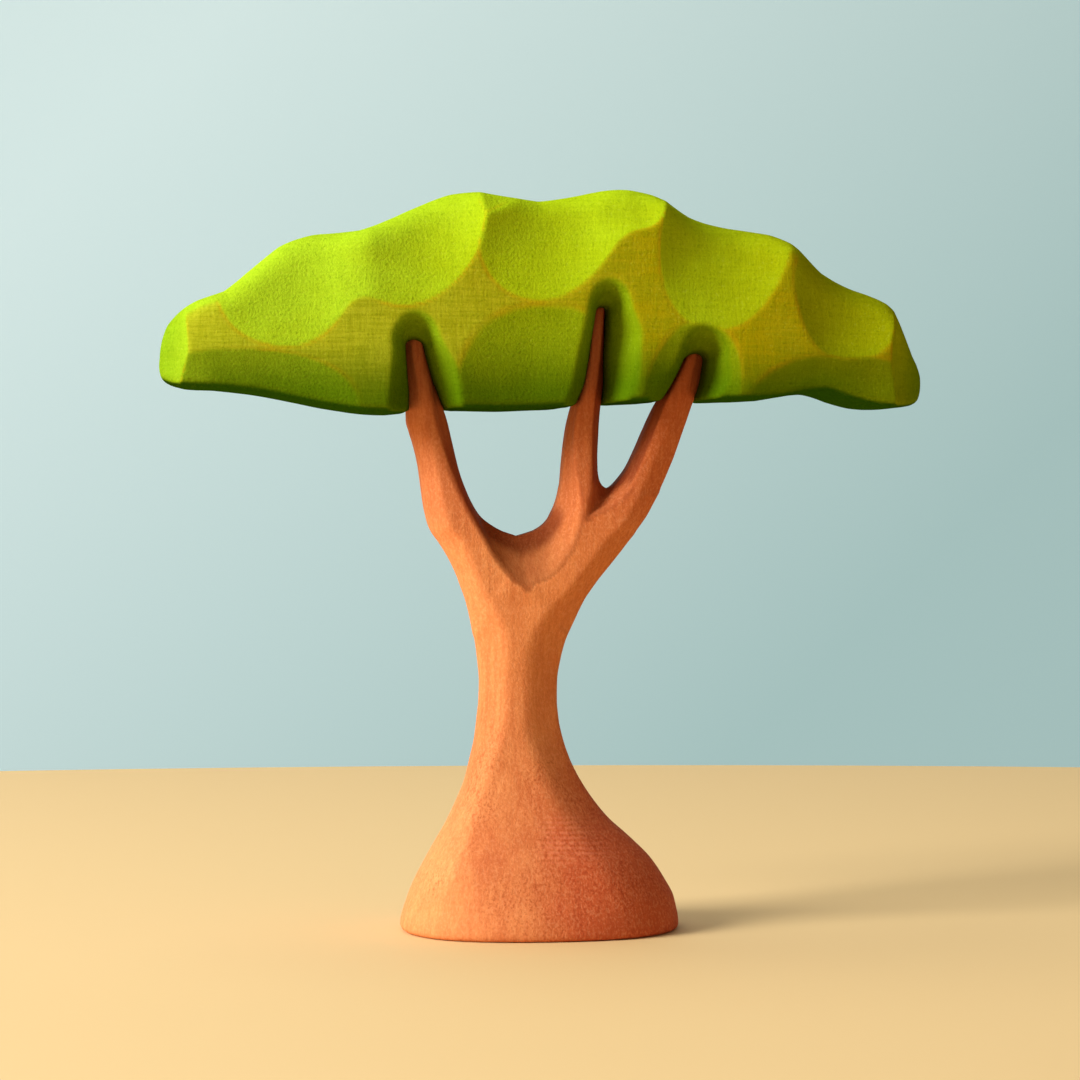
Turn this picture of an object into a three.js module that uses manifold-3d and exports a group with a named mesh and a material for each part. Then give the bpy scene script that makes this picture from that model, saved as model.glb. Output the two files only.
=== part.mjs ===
// A hand-carved wooden acacia tree, the kind that stands on a shelf or in a toy savannah.
// One board makes the trunk with its three boughs. A second board makes the crown, which sits on the
// boughs in three flared grooves. Millimetres, +Z up, +X along the crown, origin at the middle of the foot.

import * as THREE from "three";
import { mergeVertices } from "three/addons/utils/BufferGeometryUtils.js";
import Module from "manifold-3d";

const wasm = await Module();
wasm.setup();

// ---- Driving dimensions -------------------------------------------------------------------------

const GAP = 0.3; // between neighbouring pieces
const FIRST_FORK = 93.3; // height where the trunk divides
const SECOND_FORK = 105.2; // height where the right limb divides

// Half thickness of the trunk board, front to back, at each height.
const HALF_DEPTH = [
  [0, 24.4],
  [1.2, 25],
  [12, 21.6],
  [24, 15.6],
  [36, 11.2],
  [48, 9],
  [62, 8.3],
  [90, 8.4],
  [108, 7.4],
  [128, 6.5],
  [150, 5.6],
];

// Each limb's left and right edge, seen from the front: [height, left, right].
const TRUNK = [
  [0, -33, 32.6],
  [1.2, -33.7, 33.3],
  [12, -30.1, 29.7],
  [21.5, -24.9, 21.8],
  [31, -20, 12.5],
  [40.5, -16.9, 7],
  [54.8, -14.7, 3.8],
  [64.4, -15, 4.6],
  [74, -16.4, 7.9],
  [83.6, -19.5, 13.8],
  [88.4, -21.7, 17.7],
  [FIRST_FORK, -24.6, 21.4],
];
const LEFT_BOUGH = [
  [FIRST_FORK + GAP, -24.8, -7],
  [96, -26.5, -10.6],
  [98.9, -27.4, -14.5],
  [104.6, -28.4, -17.7],
  [113.2, -29.8, -20.5],
  [121.8, -32.1, -22.6],
  [127.5, -32.3, -24.6],
  [140.6, -33, -29],
];
const RIGHT_LIMB = [
  [FIRST_FORK + GAP, -4.6, 21.5],
  [96, -0.2, 23.3],
  [98.9, 2.2, 25.3],
  [101.8, 3.6, 26.7],
  [SECOND_FORK, 4.5, 28.6],
];
const MIDDLE_BOUGH = [
  [SECOND_FORK + GAP, 4.6, 15.6],
  [108.5, 4.9, 14],
  [113.3, 5.3, 13.7],
  [121.9, 6.5, 14.1],
  [127.7, 8.7, 14.8],
  [136.4, 10.8, 15.1],
  [148.7, 12.9, 15.4],
];
const RIGHT_BOUGH = [
  [SECOND_FORK + GAP, 16.4, 28.7],
  [107.5, 18.4, 29.8],
  [110.4, 20.6, 31],
  [116.1, 23.6, 33.3],
  [124.9, 27.5, 36.3],
  [130.7, 30.9, 38.3],
  [137.9, 34, 39.5],
];
const LIMB_SIDES = 16;
const TRUNK_SIDES = 24;
const RING_STEP = 2.6; // height of one ring of a limb
const SECTION_POWER = 2.5; // 2 is an ellipse, higher is squarer
const TIP_ROUND = 1.6; // height over which a bough's tip rounds off

// The crown's outline from the front: crests and dips from the left end over the top, then the underside.
const CROWN_TOP = [
  [-90.6, 136],
  [-88.6, 143.6],
  [-82, 149],
  [-75.5, 151.3],
  [-62.8, 162],
  [-55, 165],
  [-43.8, 165.9],
  [-33, 170.5],
  [-23.3, 174.6],
  [-16, 175.3],
  [-1.6, 173.3],
  [10.2, 175.4],
  [19.5, 176.3],
  [25.6, 174.8],
  [34.5, 169.8],
  [43.8, 167.5],
  [53.5, 165.9],
  [58.8, 163.3],
  [66.2, 157],
  [74.3, 153],
  [82.5, 149.6],
  [87.3, 143.2],
  [90.2, 137.5],
  [92.9, 132.5],
];
const CROWN_UNDERSIDE = [
  [91.8, 126.9],
  [87.5, 125.2],
  [79, 125.4],
  [72.5, 127],
  [66.5, 128.7],
  [55, 127.1],
  [40, 126.6],
  [20, 126],
  [5, 124.9],
  [-10, 124.3],
  [-25, 124.3],
  [-36, 123.3],
  [-46, 123.9],
  [-58, 126.1],
  [-67, 127.8],
  [-78, 129],
  [-86.5, 129.6],
  [-90, 131.5],
];
const OUTLINE_POINTS = 96;
const CROWN_HALF_DEPTH = 19.5;
const PLAN_HALF_LENGTH = 96; // of the rounded plan that thins the crown's ends
const PLAN_POWER = 3.2;
const PLAN_POINTS = 40;
const EDGE_ROUND = 2.6;

// Hollows gouged into both faces of the crown. An opening is an ellipse on the face, from x and z at its
// middle; lean turns it to the right, in degrees, and deep is how far the hollow goes in at its middle.
// Some run out over the top of the crown, and the others under it.
const HOLLOWS = [
  { x: -60.1, z: 161.1, across: 17.2, high: 23.4, lean: 15, deep: 5.9 }, // over the left shoulder
  { x: -31.2, z: 172.3, across: 17.8, high: 25.2, lean: 20, deep: 7.2 }, // over the left half
  { x: 2.7, z: 174.6, across: 17.2, high: 26.9, lean: 25, deep: 6.2 }, // over the middle
  { x: 42.8, z: 168.1, across: 16, high: 26.2, lean: 14, deep: 6.2 }, // over the right half
  { x: 71.4, z: 151.2, across: 12.8, high: 15.9, lean: -15, deep: 4.2 }, // over the right shoulder
  { x: -72, z: 124, across: 28, high: 13.8, lean: 0, deep: 3.8 }, // under the left end
  { x: -0.4, z: 126.6, across: 22.2, high: 22, lean: 6, deep: 2.8 }, // under the middle
  { x: 33.4, z: 126.2, across: 11.6, high: 19.2, lean: 14, deep: 2.6 }, // under the right half
  { x: 70.2, z: 124, across: 23.4, high: 13.3, lean: 0, deep: 3.4 }, // under the right end
];
const HOLLOW_REACH = 14; // how far a gouge's centre stands in front of the face, per millimetre of depth
const END_CUT = { x: 84, tilt: 38, deep: 4 }; // the slanting cuts that shorten both ends
const GROOVE_FLARE = 4.4; // how much wider a groove is at the face than at its bough
const ARCH_RISE = 1.6; // of a groove's round end over its bough's tip

// ---- Curves and solids --------------------------------------------------------------------------

// A smooth value through rows of [key, value, ...], with no overshoot between equal neighbours.
function smooth(rows, key, column) {
  const last = rows.length - 1;
  if (key <= rows[0][0]) return rows[0][column];
  if (key >= rows[last][0]) return rows[last][column];
  const i = rows.findIndex((row) => row[0] > key) - 1;
  const slope = (a, b) => (rows[b][column] - rows[a][column]) / (rows[b][0] - rows[a][0]);
  const tangent = (k) => {
    if (k === 0 || k === last) return slope(Math.max(k - 1, 0), Math.min(k + 1, last));
    const before = slope(k - 1, k);
    const after = slope(k, k + 1);
    return before * after <= 0 ? 0 : (2 * before * after) / (before + after);
  };
  const span = rows[i + 1][0] - rows[i][0];
  const t = (key - rows[i][0]) / span;
  const stay = 2 * t ** 3 - 3 * t ** 2 + 1;
  const between = rows[i][column] * stay + rows[i + 1][column] * (1 - stay);
  return between + span * (tangent(i) * (t ** 3 - 2 * t ** 2 + t) + tangent(i + 1) * (t ** 3 - t ** 2));
}

function solidOf(geometry) {
  geometry.deleteAttribute("normal");
  geometry.deleteAttribute("uv");
  const merged = mergeVertices(geometry, 1e-4);
  return new wasm.Manifold(
    new wasm.Mesh({
      numProp: 3,
      vertProperties: merged.getAttribute("position").array,
      triVerts: merged.index.array,
    }),
  );
}

function geometryOf(solid) {
  const mesh = solid.getMesh();
  const geometry = new THREE.BufferGeometry();
  geometry.setAttribute("position", new THREE.BufferAttribute(mesh.vertProperties, 3));
  geometry.setIndex(new THREE.BufferAttribute(mesh.triVerts, 1));
  return geometry;
}

const power = (value, exponent) => Math.sign(value) * Math.abs(value) ** exponent;

// One limb: a stack of rounded sections between its edges, closed by a flat cut at each end.
function limb(edges, sides, roundTip) {
  const [low, high] = [edges[0][0], edges[edges.length - 1][0]];
  const rings = Math.round((high - low) / RING_STEP);
  const geometry = new THREE.CylinderGeometry(1, 1, 1, sides, rings);
  const points = geometry.getAttribute("position");
  for (let i = 0; i < points.count; i++) {
    const z = THREE.MathUtils.lerp(low, high, points.getY(i) + 0.5);
    const [left, right] = [smooth(edges, z, 1), smooth(edges, z, 2)];
    const past = roundTip ? Math.max(0, (z - high + TIP_ROUND) / TIP_ROUND) : 0;
    const shrink = Math.sqrt(1 - 0.75 * past ** 2);
    const across = (shrink * (right - left)) / 2;
    const deep = shrink * smooth(HALF_DEPTH, z, 1);
    const x = (left + right) / 2 + across * power(points.getX(i), 2 / SECTION_POWER);
    points.setXYZ(i, x, -deep * power(points.getZ(i), 2 / SECTION_POWER), z);
  }
  return geometry;
}

// A flat shape in X and Z, cut from a board whose middle is at Y 0. It may grow all round by a margin.
function board(shape, halfDepth, bevel, margin = 0) {
  const geometry = new THREE.ExtrudeGeometry(shape, {
    depth: 2 * (halfDepth - bevel),
    bevelThickness: bevel,
    bevelSize: bevel,
    bevelOffset: margin - bevel,
    bevelSegments: 2,
  });
  return geometry.translate(0, 0, bevel - halfDepth).rotateX(Math.PI / 2);
}

// ---- The crown ----------------------------------------------------------------------------------

function crownBlank() {
  const round = [...CROWN_TOP, ...CROWN_UNDERSIDE].map(([x, z]) => new THREE.Vector3(x, z, 0));
  const outline = new THREE.CatmullRomCurve3(round, true, "centripetal").getSpacedPoints(OUTLINE_POINTS);
  outline.pop(); // a closed curve repeats its first point
  const front = solidOf(board(new THREE.Shape(outline), CROWN_HALF_DEPTH, EDGE_ROUND));

  const plan = Array.from({ length: PLAN_POINTS }, (_, i) => {
    const angle = (2 * Math.PI * i) / PLAN_POINTS;
    return new THREE.Vector2(
      PLAN_HALF_LENGTH * power(Math.cos(angle), 2 / PLAN_POWER),
      CROWN_HALF_DEPTH * 1.01 * power(Math.sin(angle), 2 / PLAN_POWER),
    );
  });
  const above = new THREE.ExtrudeGeometry(new THREE.Shape(plan), { depth: 200, bevelEnabled: false });
  return front.intersect(solidOf(above));
}

// A gouge is an ellipsoid in front of one face, whose cap leaves the hollow's opening on that face.
function gouge({ x, z, across, high, lean, deep }, side) {
  const out = HOLLOW_REACH * Math.sqrt(deep / 5);
  const radius = out + deep;
  const widen = 1 / Math.sqrt(1 - (out / radius) ** 2);
  const geometry = new THREE.SphereGeometry(1, 28, 18);
  geometry.scale(across * widen, radius, high * widen);
  geometry.rotateY(THREE.MathUtils.degToRad(lean));
  geometry.translate(x, side * (CROWN_HALF_DEPTH + out), z);
  return solidOf(geometry);
}

function endCut(end, side) {
  const geometry = new THREE.BoxGeometry(60, 60, 80);
  geometry.translate(30, 0, 0);
  geometry.rotateZ(THREE.MathUtils.degToRad(END_CUT.tilt));
  geometry.translate(END_CUT.x, CROWN_HALF_DEPTH - END_CUT.deep, 140);
  if (end < 0) geometry.rotateY(Math.PI).translate(0, 0, 280);
  const flip = end < 0 ? -1 : 1;
  if (side * flip < 0) geometry.rotateX(Math.PI).translate(0, 0, 280);
  return solidOf(geometry);
}

// A groove follows its bough up from below the crown. It clears the bough, and flares to both faces.
function groove(edges) {
  const tip = edges[edges.length - 1][0];
  const levels = Array.from({ length: 9 }, (_, i) => THREE.MathUtils.lerp(110, tip, i / 8));
  const side = (column) => levels.map((z) => new THREE.Vector2(smooth(edges, z, column), z));
  const [left, right] = [side(1), side(2)];
  const half = (right[8].x - left[8].x) / 2;
  const arch = [30, 60, 90, 120, 150].map((degrees) => {
    const angle = THREE.MathUtils.degToRad(degrees);
    return new THREE.Vector2(left[8].x + half * (1 + Math.cos(angle)), tip + ARCH_RISE * Math.sin(angle));
  });
  const around = new THREE.Shape([...right, ...arch, ...left.reverse()]);
  const bough = smooth(HALF_DEPTH, tip, 1);
  const flare = new THREE.ExtrudeGeometry(around, {
    depth: 6,
    bevelThickness: CROWN_HALF_DEPTH - bough,
    bevelSize: GROOVE_FLARE,
    bevelOffset: GAP,
    bevelSegments: 4,
  });
  const slot = board(around, bough + 2, 0, GAP);
  flare.rotateX(Math.PI / 2);
  const back = solidOf(flare.clone().translate(0, CROWN_HALF_DEPTH + 6, 0));
  const front = solidOf(flare.translate(0, -CROWN_HALF_DEPTH, 0));
  return solidOf(slot).add(back).add(front);
}

function crown() {
  let wood = crownBlank();
  for (const side of [-1, 1]) {
    for (const hollow of HOLLOWS) wood = wood.subtract(gouge(hollow, side));
    for (const end of [-1, 1]) wood = wood.subtract(endCut(end, side));
  }
  for (const bough of [LEFT_BOUGH, MIDDLE_BOUGH, RIGHT_BOUGH]) wood = wood.subtract(groove(bough));
  return geometryOf(wood);
}

// ---- The tree -----------------------------------------------------------------------------------

const stain = new THREE.MeshStandardMaterial({ color: 0xc4713a, roughness: 0.8, metalness: 0 });
const paint = new THREE.MeshStandardMaterial({ color: 0x9aac1c, roughness: 0.85, metalness: 0 });

const tree = new THREE.Group();

function add(name, geometry, material) {
  const mesh = new THREE.Mesh(geometry, material);
  mesh.name = name;
  tree.add(mesh);
}

add("trunk", limb(TRUNK, TRUNK_SIDES, false), stain);
add("left_bough", limb(LEFT_BOUGH, LIMB_SIDES, true), stain);
add("right_limb", limb(RIGHT_LIMB, LIMB_SIDES, false), stain);
add("middle_bough", limb(MIDDLE_BOUGH, LIMB_SIDES, true), stain);
add("right_bough", limb(RIGHT_BOUGH, LIMB_SIDES, true), stain);
add("crown", crown(), paint);

export default tree;
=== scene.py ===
"""A hand-carved wooden acacia tree: a stained trunk with three boughs under a painted, scooped crown.

The two boards are carved here as they are at the bench. Each starts as a blank of the right outline,
and gouge cuts, knife bevels and grooves are taken away from it. The skin that is left is then meshed.
"""

import logging
import math
from dataclasses import dataclass, field
from enum import Enum
from typing import Callable, Sequence, Union

import bpy
import numpy as np
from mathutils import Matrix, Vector


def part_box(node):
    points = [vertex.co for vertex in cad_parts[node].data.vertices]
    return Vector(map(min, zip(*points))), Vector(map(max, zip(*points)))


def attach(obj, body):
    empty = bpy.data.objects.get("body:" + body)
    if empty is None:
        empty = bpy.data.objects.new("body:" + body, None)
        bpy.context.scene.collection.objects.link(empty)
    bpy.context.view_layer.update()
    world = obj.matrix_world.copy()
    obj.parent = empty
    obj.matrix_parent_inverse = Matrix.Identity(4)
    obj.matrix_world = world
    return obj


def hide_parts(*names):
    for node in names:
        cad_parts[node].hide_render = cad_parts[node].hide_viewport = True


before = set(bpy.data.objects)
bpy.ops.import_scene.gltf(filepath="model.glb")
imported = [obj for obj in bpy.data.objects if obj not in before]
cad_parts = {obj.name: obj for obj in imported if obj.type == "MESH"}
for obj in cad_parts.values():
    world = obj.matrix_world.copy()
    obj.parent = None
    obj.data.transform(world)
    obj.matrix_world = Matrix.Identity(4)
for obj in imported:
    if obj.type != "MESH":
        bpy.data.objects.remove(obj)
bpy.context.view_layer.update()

log = logging.getLogger("acacia")
logging.basicConfig(level=logging.INFO, format="%(name)s: %(message)s")

MM = 0.001
PER_METRE = 1000.0
Colour = tuple[float, float, float, float]
Grid = np.ndarray


# ---- Small mathematics ---------------------------------------------------------------------------


def soft_max(first: Grid, second: Grid, blend: Union[float, Grid]) -> Grid:
    """Take the larger of two fields, rounding the corner where they meet.

    Args:
        first: one field.
        second: the other field.
        blend: width of the rounding, in the fields' own unit.

    Returns:
        The rounded maximum.
    """
    share = np.clip(0.5 + 0.5 * (first - second) / blend, 0.0, 1.0)
    return second + (first - second) * share + blend * share * (1.0 - share)


def soft_min(first: Grid, second: Grid, blend: Union[float, Grid]) -> Grid:
    """Take the smaller of two fields, rounding the corner where they meet."""
    return -soft_max(-first, -second, blend)


def step_up(value: Grid, low: float, high: float) -> Grid:
    """Rise smoothly from 0 at low to 1 at high (or fall, where high is below low)."""
    t = np.clip((value - low) / (high - low), 0.0, 1.0)
    return t * t * (3.0 - 2.0 * t)


def through(rows: Sequence[Sequence[float]], column: int, keys: Grid) -> Grid:
    """Read one column of a list of stations smoothly, without overshooting between them.

    Args:
        rows: stations in rising order, each starting with its key.
        column: which number of a station to read.
        keys: where to read it.

    Returns:
        The value at each key, held constant past both ends.
    """
    x = np.array([row[0] for row in rows], float)
    y = np.array([row[column] for row in rows], float)
    slope = np.diff(y) / np.diff(x)
    tangent = np.concatenate([slope[:1], np.zeros(len(x) - 2), slope[-1:]])
    before, after = slope[:-1], slope[1:]
    same = before * after > 0
    tangent[1:-1][same] = 2 * before[same] * after[same] / (before[same] + after[same])
    flat = np.clip(keys, x[0], x[-1])
    i = np.clip(np.searchsorted(x, flat, side="right") - 1, 0, len(x) - 2)
    span = x[i + 1] - x[i]
    t = (flat - x[i]) / span
    return (
        (2 * t**3 - 3 * t**2 + 1) * y[i]
        + (t**3 - 2 * t**2 + t) * span * tangent[i]
        + (3 * t**2 - 2 * t**3) * y[i + 1]
        + (t**3 - t**2) * span * tangent[i + 1]
    )


def closed_curve(points: Sequence[tuple[float, float]], per_span: int) -> Grid:
    """Run a smooth closed curve through points, by the centripetal Catmull-Rom rule.

    Args:
        points: the points in order.
        per_span: how many steps to take between two of them.

    Returns:
        The points of the curve, one row each.
    """
    nodes = np.array(points, float)
    count = len(nodes)
    curve = []
    for i in range(count):
        p = [nodes[(i + k) % count] for k in (-1, 0, 1, 2)]
        knot = [0.0]
        for a, b in zip(p, p[1:]):
            knot.append(knot[-1] + math.sqrt(np.linalg.norm(b - a)))
        for t in np.linspace(knot[1], knot[2], per_span, endpoint=False):
            level = p
            for depth in (1, 2, 3):
                level = [
                    ((knot[j + depth] - t) * level[j] + (t - knot[j]) * level[j + 1])
                    / (knot[j + depth] - knot[j])
                    for j in range(len(level) - 1)
                ]
            curve.append(level[0])
    return np.array(curve)


class Outline:
    """A closed outline in X and Z, with its signed distance kept on a fine sheet."""

    PITCH = 0.3
    MARGIN = 6

    def __init__(self, points: Sequence[tuple[float, float]]) -> None:
        """Measure the distance from each spot of the sheet to the outline through points."""
        loop = closed_curve(points, 8)
        self.low = loop.min(axis=0) - self.MARGIN
        self.shape = np.ceil((loop.max(axis=0) + self.MARGIN - self.low) / self.PITCH).astype(int) + 1
        xs = self.low[0] + self.PITCH * np.arange(self.shape[0])
        zs = self.low[1] + self.PITCH * np.arange(self.shape[1])
        gx, gz = np.meshgrid(xs, zs, indexing="ij")
        nearest = np.full(gx.shape, np.inf)
        inside = np.zeros(gx.shape, bool)
        for a, b in zip(loop, np.roll(loop, -1, axis=0)):
            run = b - a
            t = np.clip(((gx - a[0]) * run[0] + (gz - a[1]) * run[1]) / (run @ run), 0, 1)
            nearest = np.minimum(nearest, (gx - a[0] - t * run[0]) ** 2 + (gz - a[1] - t * run[1]) ** 2)
            crosses = (a[1] > gz) != (b[1] > gz)
            rise = run[1] if abs(run[1]) > 1e-9 else 1e-9
            inside ^= crosses & (gx < a[0] + (gz - a[1]) * run[0] / rise)
        self.sheet = np.where(inside, -1, 1) * np.sqrt(nearest)

    def distance(self, x: Grid, z: Grid) -> Grid:
        """Read the signed distance at points, negative inside the outline."""
        u = np.clip((x - self.low[0]) / self.PITCH, 0, self.shape[0] - 1.001)
        v = np.clip((z - self.low[1]) / self.PITCH, 0, self.shape[1] - 1.001)
        i, j = u.astype(int), v.astype(int)
        s, t = u - i, v - j
        low = self.sheet[i, j] * (1 - s) + self.sheet[i + 1, j] * s
        high = self.sheet[i, j + 1] * (1 - s) + self.sheet[i + 1, j + 1] * s
        return low * (1 - t) + high * t


# ---- From a solid to its skin ----------------------------------------------------------------------


class Carver:
    """Meshes the skin of a solid that is given as a field, negative in the wood."""

    EDGES = [(a, b) for a in range(8) for b in range(a + 1, 8) if bin(a ^ b).count("1") == 1]

    def __init__(
        self,
        solid: Callable[[Grid, Grid, Grid], Grid],
        low: Sequence[float],
        high: Sequence[float],
        cell: float,
    ) -> None:
        """Set the field, the box to search and the size of one cell, in millimetres."""
        self.solid = solid
        self.low = np.array(low, float)
        self.cell = cell
        self.count = np.ceil((np.array(high) - self.low) / cell).astype(int) + 1

    def values(self) -> Grid:
        """Read the field at every corner of the lattice."""
        axes = [self.low[k] + self.cell * np.arange(self.count[k]) for k in range(3)]
        gx, gy, gz = np.meshgrid(*axes, indexing="ij")
        return self.solid(gx.ravel(), gy.ravel(), gz.ravel()).reshape(gx.shape)

    def net(self) -> tuple[Grid, Grid]:
        """Lay one point in each cell that the skin crosses, and join them in quads.

        Returns:
            The points, and the corners of the faces.
        """
        field_values = self.values()
        wood = field_values < 0
        shape = tuple(self.count - 1)
        total = np.zeros(shape, np.int8)
        for corner in range(8):
            i, j, k = corner & 1, corner >> 1 & 1, corner >> 2 & 1
            total += wood[i : i + shape[0], j : j + shape[1], k : k + shape[2]]
        cells = np.argwhere((total > 0) & (total < 8))
        number = np.full(shape, -1, np.int64)
        number[tuple(cells.T)] = np.arange(len(cells))

        offsets = np.array([[c & 1, c >> 1 & 1, c >> 2 & 1] for c in range(8)])
        corners = [field_values[tuple((cells + offset).T)] for offset in offsets]
        corner_values = np.stack(corners, axis=1)
        place = np.zeros((len(cells), 3))
        hits = np.zeros(len(cells))
        for a, b in self.EDGES:
            fa, fb = corner_values[:, a], corner_values[:, b]
            cut = (fa < 0) != (fb < 0)
            t = np.where(cut, fa / np.where(cut, fa - fb, 1), 0)
            place += np.where(cut[:, None], offsets[a] + t[:, None] * (offsets[b] - offsets[a]), 0)
            hits += cut
        points = self.low + self.cell * (cells + place / hits[:, None])

        faces = []
        for axis in range(3):
            other, third = (axis + 1) % 3, (axis + 2) % 3
            ahead = [slice(None)] * 3
            behind = [slice(None)] * 3
            ahead[axis], behind[axis] = slice(1, None), slice(None, -1)
            edge = np.argwhere(wood[tuple(ahead)] != wood[tuple(behind)])
            leaving = wood[tuple(edge.T)]
            ring = []
            for step in ((0, 0), (1, 0), (1, 1), (0, 1)):
                cell_index = edge.copy()
                cell_index[:, other] -= step[0]
                cell_index[:, third] -= step[1]
                ring.append(number[tuple(cell_index.T)])
            quad = np.stack(ring, axis=1)
            quad[leaving] = quad[leaving][:, ::-1]
            faces.append(quad[:, ::-1])
        return points, np.concatenate(faces)

    def slope(self, points: Grid, reach: float) -> Grid:
        """Measure how the field changes around points, over a short reach."""
        parts = []
        for axis in range(3):
            shift = np.zeros(3)
            shift[axis] = reach
            ahead, behind = points + shift, points - shift
            parts.append((self.solid(*ahead.T) - self.solid(*behind.T)) / (2 * reach))
        return np.stack(parts, axis=1)

    def skin(self, rounds: int = 3) -> tuple[Grid, Grid]:
        """Mesh the solid and slide each point onto its true surface.

        Args:
            rounds: how many times the points are slid.

        Returns:
            The points in millimetres, and the corners of the faces.
        """
        points, faces = self.net()
        for _ in range(rounds):
            slope = self.slope(points, 0.25 * self.cell)
            steep = np.maximum((slope**2).sum(axis=1), 0.05)
            move = -self.solid(*points.T)[:, None] * slope / steep[:, None]
            far = np.linalg.norm(move, axis=1, keepdims=True)
            points = points + move * np.minimum(1, 0.5 * self.cell / np.maximum(far, 1e-9))
        return points, faces


def mesh_piece(name: str, points: Grid, faces: Grid, marks: dict[str, Grid]) -> bpy.types.Object:
    """Make an object of a skin, with its marks as attributes on the points.

    Args:
        name: the piece's name.
        points: the points in millimetres.
        faces: the corners of each face.
        marks: values at each point, by attribute name.

    Returns:
        The new object, in the scene.
    """
    mesh = bpy.data.meshes.new(name)
    mesh.vertices.add(len(points))
    mesh.vertices.foreach_set("co", (points * MM).ravel())
    mesh.loops.add(faces.size)
    mesh.loops.foreach_set("vertex_index", faces.ravel().astype(np.int32))
    mesh.polygons.add(len(faces))
    mesh.polygons.foreach_set("loop_start", np.arange(0, faces.size, faces.shape[1], dtype=np.int32))
    mesh.update(calc_edges=True)
    mesh.polygons.foreach_set("use_smooth", np.ones(len(faces), bool))
    for mark, values in marks.items():
        mesh.attributes.new(mark, "FLOAT", "POINT").data.foreach_set("value", values.astype(np.float32))
    piece = bpy.data.objects.new(name, mesh)
    bpy.context.scene.collection.objects.link(piece)
    return piece


# ---- Shader language -------------------------------------------------------------------------------


class Value:
    """One number or vector of a material, which takes part in ordinary sums."""

    def __init__(self, sheet: "Sheet", socket: bpy.types.NodeSocket) -> None:
        """Wrap an output socket of a sheet."""
        self.sheet = sheet
        self.socket = socket

    def sum(self, operation: str, *others: object, swap: bool = False) -> "Value":
        """Add one Math node.

        Args:
            operation: the node's operation.
            others: what it takes besides this value.
            swap: put the other value first.

        Returns:
            The node's result.
        """
        terms = [self, *others]
        if swap:
            terms.reverse()
        return self.sheet.node("ShaderNodeMath", {"operation": operation}, dict(enumerate(terms)))

    def __add__(self, other: object) -> "Value":
        """Add."""
        return self.sum("ADD", other)

    def __mul__(self, other: object) -> "Value":
        """Multiply."""
        return self.sum("MULTIPLY", other)

    def __sub__(self, other: object) -> "Value":
        """Subtract."""
        return self.sum("SUBTRACT", other)

    def __rsub__(self, other: object) -> "Value":
        """Subtract this from a number."""
        return self.sum("SUBTRACT", other, swap=True)

    __radd__ = __add__
    __rmul__ = __mul__

    def clamp(self) -> "Value":
        """Keep within 0 and 1."""
        return self.sheet.node("ShaderNodeClamp", {}, {0: self})

    def band(self, low: float, high: float) -> "Value":
        """Rise smoothly from 0 at low to 1 at high."""
        return self.sheet.node(
            "ShaderNodeMapRange",
            {"interpolation_type": "SMOOTHSTEP"},
            {0: self, 1: low, 2: high, 3: 0.0, 4: 1.0},
        )


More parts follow.
